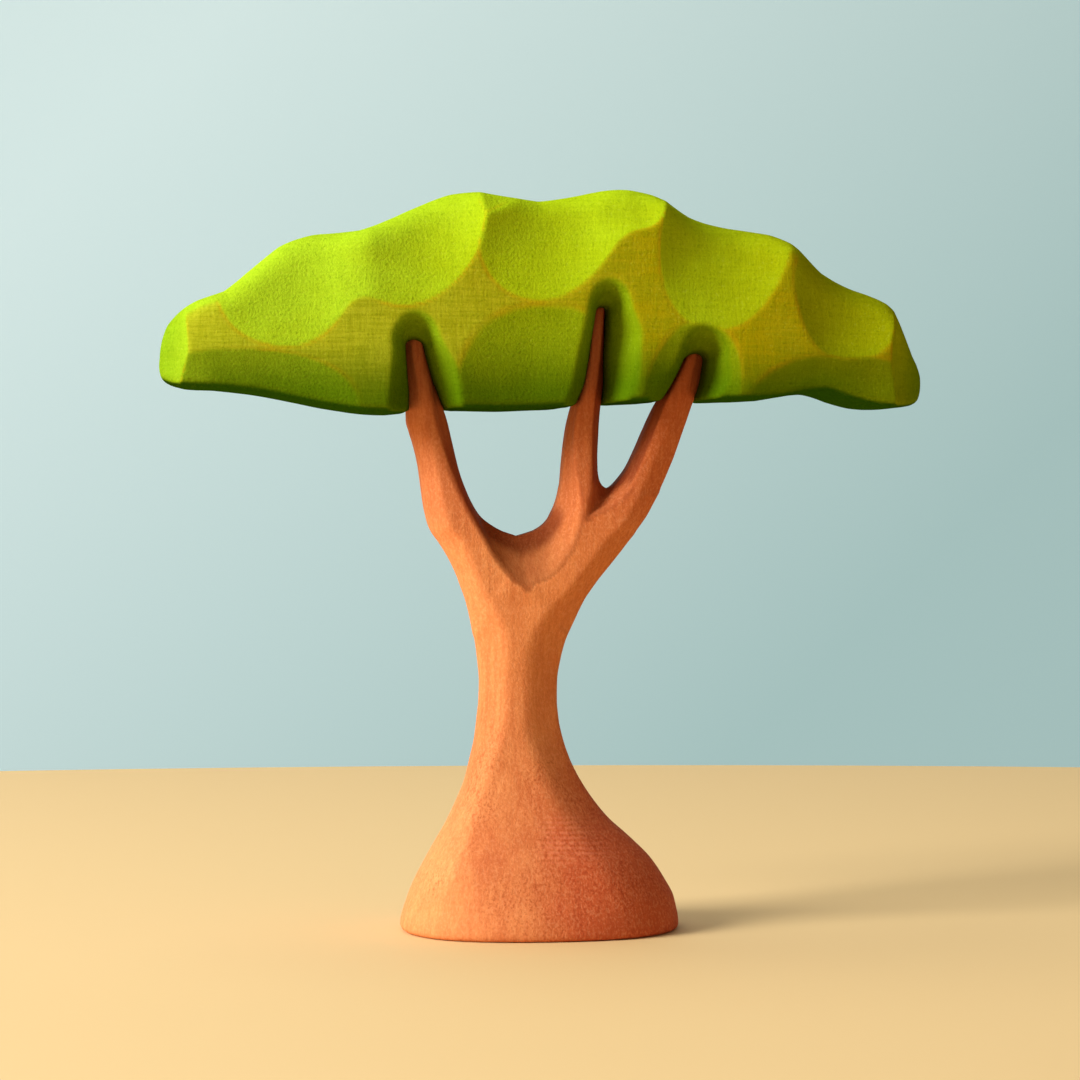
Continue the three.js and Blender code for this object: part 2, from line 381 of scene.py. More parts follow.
class Sheet:
    """The nodes of one material."""

    def __init__(self, name: str) -> None:
        """Start an empty material."""
        self.material = bpy.data.materials.new(name)
        self.material.use_nodes = True
        self.tree = self.material.node_tree
        self.tree.nodes.clear()
        self.place = self.node("ShaderNodeTexCoord", output="Object")

    def node(
        self,
        kind: str,
        settings: Union[dict[str, object], None] = None,
        sockets: Union[dict[Union[int, str], object], None] = None,
        output: Union[int, str] = 0,
    ) -> Value:
        """Add one node.

        Args:
            kind: its type.
            settings: its own settings.
            sockets: a value or another node's result for each input.
            output: which of its outputs to give back.

        Returns:
            That output.
        """
        node = self.tree.nodes.new(kind)
        for key, setting in (settings or {}).items():
            setattr(node, key, setting)
        for key, source in (sockets or {}).items():
            if isinstance(source, Value):
                self.tree.links.new(source.socket, node.inputs[key])
            else:
                node.inputs[key].default_value = source
        return Value(self, node.outputs[output] if len(node.outputs) else node.inputs[0])

    def mark(self, name: str) -> Value:
        """Read one of the piece's own marks."""
        return self.node("ShaderNodeAttribute", {"attribute_name": name}, output="Fac")

    def axis(self, name: str) -> Value:
        """Read one coordinate in millimetres."""
        return self.node("ShaderNodeSeparateXYZ", {}, {0: self.place}, name) * PER_METRE

    def noise(
        self,
        scale: Sequence[float],
        detail: float = 2.0,
        rough: float = 0.5,
        at: Sequence[float] = (0, 0, 0),
    ) -> Value:
        """Add a cloudy pattern.

        Args:
            scale: how many clouds there are per millimetre along each axis.
            detail: how many finer layers it has.
            rough: how strong those are.
            at: shifts the pattern, so that two of them differ.

        Returns:
            The pattern, from about 0 to 1 around 0.5.
        """
        place = self.node(
            "ShaderNodeVectorMath",
            {"operation": "MULTIPLY_ADD"},
            {0: self.place, 1: tuple(PER_METRE * s for s in scale), 2: tuple(at)},
        )
        return self.node(
            "ShaderNodeTexNoise",
            {"noise_dimensions": "3D"},
            {"Vector": place, "Scale": 1.0, "Detail": detail, "Roughness": rough},
        )

    def mix(self, share: object, first: object, second: object, blend: str = "MIX") -> Value:
        """Mix two colours.

        Args:
            share: how much of the second there is.
            first: the first colour.
            second: the second colour.
            blend: the way they mix.

        Returns:
            The mixed colour.
        """
        settings = {"data_type": "RGBA", "blend_type": blend}
        return self.node("ShaderNodeMix", settings, {0: share, 6: first, 7: second}, 2)

    def stained(self, share: object, colour: Value, tint: Colour) -> Value:
        """Darken a colour by a see-through tint, by a share."""
        return self.mix(share, colour, self.mix(1.0, colour, tint, "MULTIPLY"))

    def finish(
        self, colour: Value, roughness: Value, height: Value, relief: float, sheen: float
    ) -> bpy.types.Material:
        """Close the material with its shader.

        Args:
            colour: the colour.
            roughness: the roughness.
            height: the height of the surface's fine relief, in millimetres.
            relief: how much of that relief shows.
            sheen: how strongly it mirrors.

        Returns:
            The material.
        """
        ripples = {"Strength": relief, "Distance": MM, "Height": height}
        bump = self.node("ShaderNodeBump", {}, ripples, "Normal")
        shader = self.node(
            "ShaderNodeBsdfPrincipled",
            {},
            {"Base Color": colour, "Roughness": roughness, "Normal": bump, "Specular IOR Level": sheen},
        )
        self.node("ShaderNodeOutputMaterial", {}, {"Surface": shader})
        return self.material


def tone(red: float, green: float, blue: float) -> Colour:
    """Turn a screen colour from 0 to 255 into the linear one that shaders take."""
    shares = (red / 255, green / 255, blue / 255)
    linear = [c / 12.92 if c <= 0.04045 else ((c + 0.055) / 1.055) ** 2.4 for c in shares]
    return (*linear, 1.0)


@dataclass(frozen=True)
class TrunkStain:
    """Thin orange-brown stain over sanded light wood, redder towards the right of the foot, with painted
    shade: darker to the right, in the forks and under the crown.
    """

    honey: Colour = tone(236, 150, 92)
    amber: Colour = tone(220, 126, 68)
    russet: Colour = tone(194, 82, 50)
    umber: Colour = tone(112, 46, 14)
    chestnut: Colour = tone(150, 52, 8)
    vein: Colour = tone(208, 150, 120)
    pore: Colour = tone(168, 104, 78)
    bare: Colour = tone(255, 186, 136)
    saw_line: Colour = tone(240, 140, 104)
    roughness: float = 0.74
    relief: float = 0.5
    sheen: float = 0.06

    def make(self) -> bpy.types.Material:
        """Mix the stain.

        Returns:
            The material.
        """
        s = Sheet("trunk stain")
        x, z = s.axis("X"), s.axis("Z")
        cloud = s.noise((0.05, 0.05, 0.03), 3.0, 0.6)
        grain = s.noise((0.9, 0.9, 0.07), 3.0, 0.6, (7, 2, 5))
        speck = s.noise((1.7, 1.7, 1.2), 2.0, 0.7, (1, 9, 4))

        # Painted shade: the stain turns from honey to darker amber towards the right, the side away from the
        # window.
        side = (x * 0.018 + (cloud - 0.5) * 1.6 + 0.42).clamp()
        colour = s.mix(side, self.honey, self.amber)
        low = 1.0 - z.band(14.0, 74.0)
        warm = (low * (x * 0.026 + 0.74 + (cloud - 0.5) * 1.8)).clamp()
        colour = s.mix(warm * 0.78, colour, self.russet)
        # Darker umber where the end grain takes more stain, and painted shade on the insides of the forks
        # that face away from the window.
        colour = s.mix(s.mark("end_grain_and_shade") * 0.8, colour, self.umber)
        # Painted shade: umber on the walls of the fork openings that face away from the window.
        colour = s.mix(s.mark("fork_scoop_shade") * 0.5, colour, self.umber)
        # Painted shade: redder russet over the boughs just under the crown.
        colour = s.mix(z.band(88.0, 106.0) * 0.36, colour, self.russet)
        colour = s.mix(s.mark("shade") * 0.32, colour, self.chestnut)

        streak = grain.band(0.36, 0.66)
        colour = s.stained((1.0 - streak) * 0.26, colour, self.vein)
        patch = s.noise((0.09, 0.09, 0.06), 2.0, 0.5, (4, 4, 7)).band(0.42, 0.62)
        dots = speck.band(0.52, 0.66) * (patch * (1.0 - z.band(40.0, 62.0)) * 0.26 + 0.12)
        colour = s.stained(dots, colour, self.pore)
        dark = (s.mark("end_grain_and_shade") + s.mark("fork_scoop_shade") + s.mark("shade")).clamp()
        pale = (1.0 - speck.band(0.36, 0.5)) * (1.0 - dark * 0.8)
        colour = s.mix(pale * 0.16, colour, self.bare)

        saw = s.node("ShaderNodeMath", {"operation": "SINE"}, {0: z * 5.6 + cloud * 5.0 + x * 0.2})
        sawn = s.mark("sawn") * grain.band(0.3, 0.6)
        colour = s.mix(sawn * (saw * 0.5 + 0.5) * 0.42, colour, self.saw_line)
        height = speck * 0.26 + grain * 0.12 + sawn * saw * 0.06
        rough = self.roughness + (streak - 0.5) * 0.1
        return s.finish(colour, rough, height, self.relief, self.sheen)


@dataclass(frozen=True)
class CrownPaint:
    """Thin green wash on carved wood, with ochre left on the flat ridges, darker green in the lower hollows,
    and painted light: shade at the ends, low down, underneath and in the grooves, and pale highlight specks.
    """

    lime: Colour = tone(168, 202, 34)
    leaf: Colour = tone(170, 194, 18)
    olive: Colour = tone(146, 150, 4)
    straw: Colour = tone(176, 178, 36)
    ochre: Colour = tone(166, 148, 4)
    moss: Colour = tone(74, 104, 4)
    deep: Colour = tone(42, 80, 6)
    end_shade: Colour = tone(70, 118, 4)
    gold: Colour = tone(196, 152, 16)
    groove_shadow: Colour = tone(40, 34, 4)
    pit: Colour = tone(150, 172, 110)
    bloom: Colour = tone(206, 220, 80)
    thread: Colour = tone(170, 180, 110)
    roughness: float = 0.75
    relief: float = 0.5
    sheen: float = 0.0

    def make(self) -> bpy.types.Material:
        """Mix the paint.

        Returns:
            The material.
        """
        s = Sheet("crown paint")
        x, z = s.axis("X"), s.axis("Z")
        cloud = s.noise((0.05, 0.05, 0.06), 3.0, 0.6)
        fine = s.noise((1.5, 1.5, 1.5), 2.0, 0.65, (3, 1, 8))
        weft = s.noise((0.12, 0.12, 1.6), 2.0, 0.6, (5, 5, 1))
        warp = s.noise((1.3, 0.4, 0.16), 2.0, 0.6, (9, 4, 2))

        drift = (cloud - 0.5) * 1.1
        colour = s.mix((x.band(-60.0, 0.0) + drift).clamp(), self.lime, self.leaf)
        colour = s.mix((x.band(16.0, 70.0) + drift).clamp() * 0.8, colour, self.olive)

        # Painted shade: darker green at both ends of the crown.
        tip = x.band(-80.0, -90.0) + x.band(84.0, 92.0)
        colour = s.mix(tip * 0.5, colour, self.end_shade)

        flat = s.mark("flat")
        woven = (weft * 0.6 + warp * 0.4).band(0.4, 0.6)
        face = s.mix((x.band(-50.0, 40.0) + drift).clamp(), self.straw, self.ochre)
        face = s.mix(woven * 0.45, face, self.olive)
        colour = s.mix(flat * 0.85, colour, face)
        edge = s.mark("ridge") * (cloud.band(0.36, 0.6) * 0.46 + 0.08)
        colour = s.mix(edge, colour, self.gold)

        # Painted shade: the crown darkens to moss towards its lower edge, less at its ends.
        low = 1.0 - (z + (cloud - 0.5) * 9.0).band(126.0, 142.0)
        low = low * x.band(-88.0, -76.0) * (1.0 - x.band(64.0, 84.0) * 0.6)
        low = low + (1.0 - z.band(132.0, 148.0)) * (x.band(12.0, 22.0) - x.band(34.0, 44.0)) * 0.3
        low = low.clamp()
        colour = s.mix(s.mark("under") * 0.36, colour, self.moss)
        colour = s.mix(low * 0.92, colour, self.moss)
        # Painted shade: deep green on the surfaces that face down.
        colour = s.mix(s.mark("underside_shade"), colour, self.deep)
        # Painted shade: deeper moss inside the grooves.
        colour = s.mix(s.mark("groove") * 0.62, colour, self.moss)
        # Painted shadow: near-black in the deepest part of each groove, around the bough tips.
        colour = s.mix(s.mark("slot_shadow") * 0.65, colour, self.groove_shadow)

        colour = s.stained(fine.band(0.55, 0.7) * 0.3, colour, self.pit)
        # Painted highlight: pale specks over the lit surfaces, fewer low down.
        highlight_specks = (1.0 - fine.band(0.28, 0.42)) * (1.0 - low * 0.8)
        colour = s.mix(highlight_specks * 0.14, colour, self.bloom)
        strokes = (warp.band(0.35, 0.62) + weft.band(0.4, 0.6)) * 0.1
        colour = s.stained(strokes, colour, self.thread)

        cloth = (flat + x.band(-24.0, 24.0)).clamp()
        height = fine * (0.5 - cloth * 0.28) + (weft + warp) * (cloth * 0.12 + 0.02)
        rough = self.roughness + (fine - 0.5) * 0.16
        return s.finish(colour, rough, height, self.relief, self.sheen)


# ---- Tool marks --------------------------------------------------------------------------------


class Tool(Enum):
    """The tool that made a surface's last marks: its strokes' spacing in millimetres and their depth."""

    GOUGE = (7.5, 0.16)
    KNIFE = (6.0, 0.12)


class ToolMarks:
    """Shallow strokes that a tool leaves all over a carved skin, as a tree of geometry nodes."""

    INPUTS = (("Stroke spacing", 0.0075), ("Stroke depth", 0.00016), ("Run", 1.0))
    STRETCH = (1.0, 1.0, 0.62)

    def __init__(self) -> None:
        """Build the tree: each point moves along its normal by the pattern of strokes there."""
        self.tree = bpy.data.node_groups.new("tool marks", "GeometryNodeTree")
        face = self.tree.interface
        face.new_socket("Geometry", in_out="INPUT", socket_type="NodeSocketGeometry")
        for name, start in self.INPUTS:
            face.new_socket(name, in_out="INPUT", socket_type="NodeSocketFloat").default_value = start
        face.new_socket("Material", in_out="INPUT", socket_type="NodeSocketMaterial")
        face.new_socket("Geometry", in_out="OUTPUT", socket_type="NodeSocketGeometry")
        given = self.node("NodeGroupInput")
        keep = self.node("GeometryNodeInputNamedAttribute", {"data_type": "FLOAT"}, {"Name": "carved"})

        rate = self.math("DIVIDE", 1.0, given.outputs["Stroke spacing"])
        place = self.node("GeometryNodeInputPosition")
        drawn = self.node(
            "ShaderNodeVectorMath", {"operation": "MULTIPLY"}, {0: place.outputs[0], 1: self.STRETCH}
        )
        cells = self.node(
            "ShaderNodeTexVoronoi",
            {"feature": "SMOOTH_F1", "voronoi_dimensions": "4D"},
            {"Vector": drawn.outputs[0], "Scale": rate, "W": given.outputs["Run"], "Smoothness": 0.25},
        )
        waves = self.node(
            "ShaderNodeTexNoise",
            {"noise_dimensions": "4D"},
            {"Vector": place.outputs[0], "Scale": rate, "W": given.outputs["Run"], "Detail": 2.0},
        )
        strokes = self.math("SUBTRACT", cells.outputs["Distance"], 0.45)
        rise = self.math("SUBTRACT", waves.outputs[0], 0.5)
        deep = self.math("MULTIPLY", self.math("ADD", strokes, rise), given.outputs["Stroke depth"])
        kept = self.math("MULTIPLY", deep, keep.outputs["Attribute"])
        normal = self.node("GeometryNodeInputNormal")
        move = self.node(
            "ShaderNodeVectorMath", {"operation": "SCALE"}, {0: normal.outputs[0], "Scale": kept}
        )
        shaped = self.node(
            "GeometryNodeSetPosition", {}, {"Geometry": given.outputs[0], "Offset": move.outputs[0]}
        )
        real = self.node("GeometryNodeRealizeInstances", {}, {0: shaped.outputs[0]})
        dressed = self.node(
            "GeometryNodeSetMaterial",
            {},
            {"Geometry": real.outputs[0], "Material": given.outputs["Material"]},
        )
        self.node("NodeGroupOutput", {}, {0: dressed.outputs[0]})

    def node(
        self,
        kind: str,
        settings: Union[dict[str, object], None] = None,
        sockets: Union[dict[Union[int, str], object], None] = None,
    ) -> bpy.types.Node:
        """Add one node to the tree.

        Args:
            kind: its type.
            settings: its own settings.
            sockets: a number or another node's output for each input.

        Returns:
            The node.
        """
        node = self.tree.nodes.new(kind)
        for key, setting in (settings or {}).items():
            setattr(node, key, setting)
        for key, source in (sockets or {}).items():
            if isinstance(source, bpy.types.NodeSocket):
                self.tree.links.new(source, node.inputs[key])
            else:
                node.inputs[key].default_value = source
        return node

    def math(self, operation: str, first: object, second: object) -> bpy.types.NodeSocket:
        """Add one Math node of two terms, and give back its result."""
        return self.node("ShaderNodeMath", {"operation": operation}, {0: first, 1: second}).outputs[0]

    def work(self, piece: bpy.types.Object, tool: Tool, run: float, material: bpy.types.Material) -> None:
        """Leave a tool's marks on a piece, as plain mesh.

        Args:
            piece: the piece.
            tool: the tool.
            run: which run of strokes, so that two pieces differ.
            material: the finish that the piece gets.
        """
        spacing, depth = tool.value
        given = {
            "Stroke spacing": spacing * MM,
            "Stroke depth": depth * MM,
            "Run": run,
            "Material": material,
        }
        modifier = piece.modifiers.new("tool marks", "NODES")
        modifier.node_group = self.tree
        for item in self.tree.interface.items_tree:
            if item.in_out == "INPUT" and item.name in given:
                modifier[item.identifier] = given[item.name]
        depsgraph = bpy.context.evaluated_depsgraph_get()
        marked = bpy.data.meshes.new_from_object(piece.evaluated_get(depsgraph))
        piece.modifiers.clear()
        raw = piece.data
        piece.data = marked
        marked.name = piece.name
        bpy.data.meshes.remove(raw)


# ---- The trunk and its boughs ---------------------------------------------------------------------


@dataclass
class Limb:
    """One limb between its left and right edges, which are stations of (height, left, right).

    Ridges say where its front flat ends, by height, as shares of its half width. Flanks are the depths that
    the flats beside it reach at the edges. Swell is the share of the board's thickness that the limb takes,
    by height, so that it can start or end inside another.
    """

    edges: list[tuple[float, float, float]]
    ridges: tuple[tuple[float, float, float], ...]
    flanks: tuple[float, float]
    swell: tuple[tuple[float, float], ...] = ((0, 1), (400, 1))
    roundness: float = 0.0
    top: float = 400.0
    turned_power: float = 2.3
    eased: float = 0.14
    sanded: float = 0.42

    def solid(self, x: Grid, y: Grid, z: Grid, half_depth: Grid) -> Grid:
        """Measure the limb's field at points, negative in the wood.

        Args:
            x: across.
            y: front to back.
            z: up.
            half_depth: half the board's thickness at each point.

        Returns:
            The field, in millimetres.
        """
        half_depth = half_depth * through(self.swell, 1, z)
        left, right = through(self.edges, 1, z), through(self.edges, 2, z)
        middle, across = (left + right) / 2, (right - left) / 2
        u, v = (x - middle) / across, np.abs(y) / half_depth
        ease = self.eased * np.minimum(across, half_depth)
        flats = soft_max(across * (np.abs(u) - 1), half_depth * (v - 1), ease)
        for side, way in ((0, -1), (1, 1)):
            run = 1 - way * through(self.ridges, side + 1, z)
            drop = 1 - self.flanks[side]
            reach = np.sqrt((drop / across) ** 2 + (run / half_depth) ** 2)
            flats = soft_max(flats, (drop * (way * u - 1 + run) + run * (v - 1)) / reach, ease)
        power = self.turned_power
        r = (np.abs(u) ** power + v**power) ** (1 / power)
        safe = np.maximum(r, 1e-3)
        pull_u = np.abs(u) ** (power - 1) * safe ** (1 - power) / across
        pull_v = v ** (power - 1) * safe ** (1 - power) / half_depth
        turned = (r - 1) / np.maximum(np.sqrt(pull_u**2 + pull_v**2), 1e-3)
        # The knife's flats give way to a sanded, rounder foot.
        share = self.roundness * step_up(z, 52.0, 16.0) + self.sanded * step_up(z, 16.0, 3.0)
        side = flats * (1 - share) + turned * share
        return soft_max(side, z - self.top, 0.9)


@dataclass(frozen=True)
class Fork:
    """The opening between two limbs: its edges halfway into the board, and its wider edges on both faces."""

    inner: tuple[tuple[float, float, float], ...]
    outer: tuple[tuple[float, float, float], ...]

    def solid(self, x: Grid, y: Grid, z: Grid, half_depth: Grid) -> Grid:
        """Measure the opening's field at points, negative in the opening."""
        share = np.clip((np.abs(y) / half_depth - 0.36) / 0.64, 0, 1.12)
        starts = self.inner[0][0], self.outer[0][0]
        rise = z - starts[0] + (starts[0] - starts[1]) * share
        sides = [
            through(self.inner, k, starts[0] + rise) * (1 - share)
            + through(self.outer, k, starts[1] + rise) * share
            for k in (1, 2)
        ]
        across = np.abs(x - (sides[0] + sides[1]) / 2) - (sides[1] - sides[0]) / 2
        return soft_max(across, -rise, 0.8) * 0.75


@dataclass
class Trunk:
    """The stained board: a flared foot, a leaning waist and three boughs that end in the crown."""

    half_depth: list[tuple[float, float]] = field(
        default_factory=lambda: [
            (0, 24.6), (1.2, 24.9), (12, 21.6), (24, 15.6), (36, 11.2), (48, 9.0),
            (62, 8.3), (90, 8.4), (108, 7.4), (128, 6.5), (150, 5.6),
        ]
    )
    stem: list[tuple[float, float, float]] = field(
        default_factory=lambda: [
            (0, -33.2, 32.8), (1.2, -33.6, 33.2), (7.3, -32, 32.1), (12, -30.1, 29.7), (16.7, -27.6, 26.5),
            (21.5, -24.9, 21.8), (26.2, -22.3, 16.5), (31, -20, 12.5), (35.7, -18.1, 9.4), (40.5, -16.9, 7.0),
            (45.3, -15.8, 5.3), (50.1, -15.2, 4.2), (54.8, -14.7, 3.8), (59.6, -14.6, 3.9), (64.4, -15, 4.6),
            (69.2, -15.6, 5.9), (74, -16.4, 7.9), (78.8, -17.6, 10.2), (83.6, -19.0, 12.6), (94, -19.4, 13.0),
        ]
    )
    left: list[tuple[float, float, float]] = field(
        default_factory=lambda: [
            (70, -15.7, 6.0), (78.8, -17.6, 0.6), (83.6, -19.5, -2.4),
            (88.4, -21.7, -4.0), (93.0, -24.5, -4.6),
            (94.3, -25.5, -6.0), (95.4, -26.2, -9.4), (97, -26.9, -12.2),
            (98.9, -27.4, -14.5), (101.8, -28, -16.4),
            (104.6, -28.4, -17.7), (110.4, -29.2, -19.8), (116.1, -30.5, -21.2), (119, -31.4, -21.9),
            (121.8, -32.1, -22.6), (127.5, -32.1, -24.6), (133.3, -32.5, -26.8), (141, -33.0, -28.9),
        ]
    )
    right: list[tuple[float, float, float]] = field(
        default_factory=lambda: [
            (70, -15.7, 6.0), (78.8, -13.4, 10.2), (83.6, -10.2, 13.8),
            (88.4, -8.2, 17.7), (93.0, -7.2, 21.3),
            (94.3, -5.6, 22.3), (95.4, -1.8, 22.9), (97, 0.7, 24.0), (98.9, 2.2, 25.3), (101.8, 3.6, 26.7),
            (104.6, 4.4, 28.4),
        ]
    )
    middle: list[tuple[float, float, float]] = field(
        default_factory=lambda: [
            (88, 5.0, 13.0), (94, 3.6, 15.4), (98.9, 2.4, 16.2), (101.8, 3.6, 16.0), (104.6, 4.4, 15.6),
            (107.5, 4.8, 14.2), (110.4, 5.0, 13.8), (113.3, 5.3, 13.7),
            (119.1, 6.1, 13.9), (124.8, 7.5, 14.3),
            (130.6, 9.7, 15.0), (136.4, 10.8, 15.0), (142.2, 11.6, 15.3), (149, 12.7, 15.4),
        ]
    )
    outer: list[tuple[float, float, float]] = field(
        default_factory=lambda: [
            (93.2, 6.0, 21.4), (98.9, 12.0, 25.3), (104.6, 16.0, 28.4),
            (107.5, 18.4, 29.8), (110.4, 20.6, 31.0),
            (113.3, 22.1, 32.2), (119.1, 24.8, 34.3), (124.9, 27.5, 36.3),
            (130.7, 30.9, 38.3), (138, 34.6, 39.5),
        ]
    )

    forks: tuple[Fork, ...] = (
        Fork(
            (
                (94.0, -5.8, -5.8), (95.4, -9.4, -1.8), (97, -12.2, 0.7),
                (98.9, -14.5, 2.2), (101.8, -16.4, 3.6),
                (104.6, -17.7, 4.4), (110.4, -19.8, 5.0), (116.1, -21.0, 5.4),
                (124, -22.8, 6.6), (133, -26.0, 9.4),
            ),
            (
                (82.4, -4.0, -4.0), (84, -7.0, 0.4), (88.3, -10.8, 4.6), (93, -13.6, 7.2), (96.8, -15.8, 8.3),
                (100.6, -17.9, 8.7), (105.1, -20.1, 8.4), (108.6, -21.7, 7.6), (118.1, -24.8, 7.1),
                (124, -26.2, 8.2), (133, -28.6, 11.2),
            ),
        ),
        Fork(
            (
                (105.4, 16.0, 16.0), (106.2, 15.0, 17.0), (107.5, 14.2, 18.4), (110.4, 13.8, 20.6),
                (113.3, 13.8, 22.1), (119.1, 14.3, 24.5), (124.9, 14.9, 27.0),
                (130.7, 15.6, 30.2), (149, 16.4, 39.0),
            ),
            (
                (98.6, 10.6, 10.6), (99.8, 10.9, 14.0), (102.7, 11.4, 18.2),
                (105.3, 11.8, 20.6), (108.7, 11.8, 22.4),
                (112, 11.6, 23.9), (117, 11.5, 26.1), (124.2, 12.0, 28.7),
                (131, 13.0, 31.9), (149, 15.0, 42.0),
            ),
        ),
    )

    def limbs(self) -> list[Limb]:
        """List the limbs with the flats that the knife left on each."""
        inside = 0.55
        return [
            Limb(
                self.stem,
                (
                    (0, -0.9, 0.66), (9, -0.9, 0.6), (20, -0.88, 0.46), (32, -0.84, 0.38), (41, -0.7, 0.28),
                    (48, -0.5, 0.17), (55, -0.43, 0.17), (65, -0.44, 0.16),
                    (70, -0.44, 0.23), (76, -0.62, 0.42),
                    (82, -0.74, 0.58),
                ),
                (0.42, 0.4), ((76, 1), (84, 0.88), (94, 0.45)), roundness=0.5, top=93.6,
            ),
            Limb(
                self.left, ((84, -0.58, 0.9), (96, -0.5, 0.9), (100, -0.36, 0.9), (110, -0.24, 0.9)),
                (0.5, 0.85), ((70, inside), (82, 1), (400, 1)), top=141.0,
            ),
            Limb(
                self.right, ((84, -0.9, 0.54), (96, -0.9, 0.62)),
                (0.85, 0.42), ((70, inside), (82, 1), (103, 1), (107, 0.6)), top=105.8,
            ),
            Limb(
                self.middle, ((100, -0.8, 0.8), (140, -0.8, 0.8)),
                (0.7, 0.7), ((91, inside), (104, 1), (400, 1)), top=149.0,
            ),
            Limb(
                self.outer, ((98, -0.8, 0.4), (110, -0.8, 0.05)),
                (0.7, 0.44), ((94, inside), (104, 1), (400, 1)), top=138.0,
            ),
        ]

    def solid(self, x: Grid, y: Grid, z: Grid) -> Grid:
        """Measure the whole board's field at points, negative in the wood."""
        depth = through(self.half_depth, 1, z)
        wood = None
        for limb in self.limbs():
            one = limb.solid(x, y, z, depth)
            first = limb.edges[0][0]
            one = soft_max(one, first - z, 2.0) if first > 0 else one
            wood = one if wood is None else soft_min(wood, one, 1.0)
        for fork in self.forks:
            wood = soft_max(wood, -fork.solid(x, y, z, depth), 0.8)
        return soft_max(wood, -z, 0.9)

    def marks(self, points: Grid, normals: Grid) -> dict[str, Grid]:
        """Work out where the stain sits darker, where shade is painted, where a saw has been and where a
        knife has.

        Args:
            points: the skin's points, in millimetres.
            normals: the way the skin faces at each.

        Returns:
            The marks, by name.
        """
        x, y, z = points.T
        facing, up = normals[:, 0], normals[:, 2]
        depth = through(self.half_depth, 1, z)
        lip = step_up(np.abs(y) / depth, 0.7, 0.52) * step_up(up, 0.0, 0.3)
        wide = step_up(np.hypot(x + 6, 1.6 * (z - 95)), 17, 10) * lip
        narrow = step_up(np.hypot(x - 16, z - 106), 7, 4) * lip
        # Painted shade on the fork openings' walls that face away from the window.
        fork_scoop_shade = np.zeros_like(x)
        for fork in self.forks:
            fork_scoop_shade = np.maximum(fork_scoop_shade, step_up(np.abs(fork.solid(x, y, z, depth)), 1.1, 0.5))
        fork_scoop_shade = fork_scoop_shade * step_up(facing, -0.8, 0.0) * step_up(z, 116, 104)
        # Painted shade on the right-facing insides of the boughs, together with their darker end grain.
        left_inside = step_up(x, -7, -9) * step_up(z, 90, 97) * step_up(facing, 0.3, 0.62)
        left_inside = left_inside * (1 - 0.8 * step_up(z, 112, 128))
        middle_inside = step_up(np.abs(x - 13), 5, 3) * step_up(z, 105, 108)
        middle_inside = middle_inside * step_up(facing, 0.45, 0.75)
        outer_inside = step_up(x, 16, 18) * step_up(z, 104, 107) * step_up(facing, -0.5, -0.8)
        sawn = step_up(np.abs(x - 8), 13, 6) * step_up(np.abs(z - 23), 7, 3)
        sawn = sawn * step_up(-normals[:, 1], 0.5, 0.8)
        end_grain_and_shade = wide + narrow + left_inside + middle_inside + 0.8 * outer_inside
        return {
            "end_grain_and_shade": np.clip(end_grain_and_shade, 0, 1),
            "fork_scoop_shade": fork_scoop_shade,
            "shade": step_up(z, 112, 131),
            "sawn": sawn,
            "carved": step_up(z, 0.4, 3.0),
        }


# ---- The crown -------------------------------------------------------------------------------------


@dataclass(frozen=True)
class Hollow:
    """One gouged hollow in a face: its middle, its reach across and high, and its depth there.

    Run is how much it steepens as it climbs, for a stroke that runs out over the top.
    """

    x: float
    z: float
    across: float
    high: float
    deep: float
    square: float = 2.7
    lean: float = 0.0
    blend: float = 0.45
    run: float = 0.0

    def cut(self, x: Grid, z: Grid, even: bool = False) -> Grid:
        """Measure how far below the face the hollow's skin lies, negative where it clears the face.

        Args:
            x: across.
            z: up.
            even: whether to leave out the steepening.

        Returns:
            The depth, in millimetres.
        """
        turn = math.radians(self.lean)
        dx, dz = x - self.x, z - self.z
        u = (dx * math.cos(turn) + dz * math.sin(turn)) / self.across
        v = (dz * math.cos(turn) - dx * math.sin(turn)) / self.high
        r = (np.abs(u) ** self.square + np.abs(v) ** self.square) ** (1 / self.square)
        ramp = np.maximum(1 + v, 1e-3) ** self.run / np.maximum(1 - v, 0.4)
        return self.deep * (1 - r * r) * np.where((r < 1) & (self.run > 0) & (not even), ramp, 1)


@dataclass(frozen=True)
class Groove:
    """A groove that takes a bough's tip: the bough's edges, and how far each side flares at the face."""

    edges: list[tuple[float, float, float]]
    tip: float
    left: float
    right: float

    def solid(self, x: Grid, y: Grid, z: Grid, seat: float, face: float) -> tuple[Grid, Grid]:
        """Measure the groove's field at points, negative in the groove.

        Args:
            x: across.
            y: front to back.
            z: up.
            seat: how far out the bough's side is.
            face: how far out the crown's face is.

        Returns:
            The field, and how far out towards the face each point is, from 0 to 1.
        """
        share = np.clip((np.abs(y) - seat) / (face - seat), 0, 1.15) ** 1.5
        half_tip = (through(self.edges, 2, self.tip) - through(self.edges, 1, self.tip)) / 2
        level = np.minimum(z, self.tip - half_tip)
        below = self.tip - z
        left = self.left * (0.7 + 0.35 * step_up(below, 2, 16))
        right = self.right * (0.6 + 0.5 * step_up(below, -1, 8) - 0.35 * step_up(z, 134, 124))
        shift = share * (right - left) / 2
        margin = share * ((right + left) / 2 + 0.2) - 0.15
        half = (through(self.edges, 2, level) - through(self.edges, 1, level)) / 2
        height = np.minimum(z, self.tip)
        middle = (through(self.edges, 1, height) + through(self.edges, 2, height)) / 2
        rise = np.maximum(z - (self.tip - half_tip), 0) * (1.3 - 0.54 * np.minimum(share * 3, 1))
        return (np.hypot(x - shift - middle, rise) - half - margin) * 0.9, share


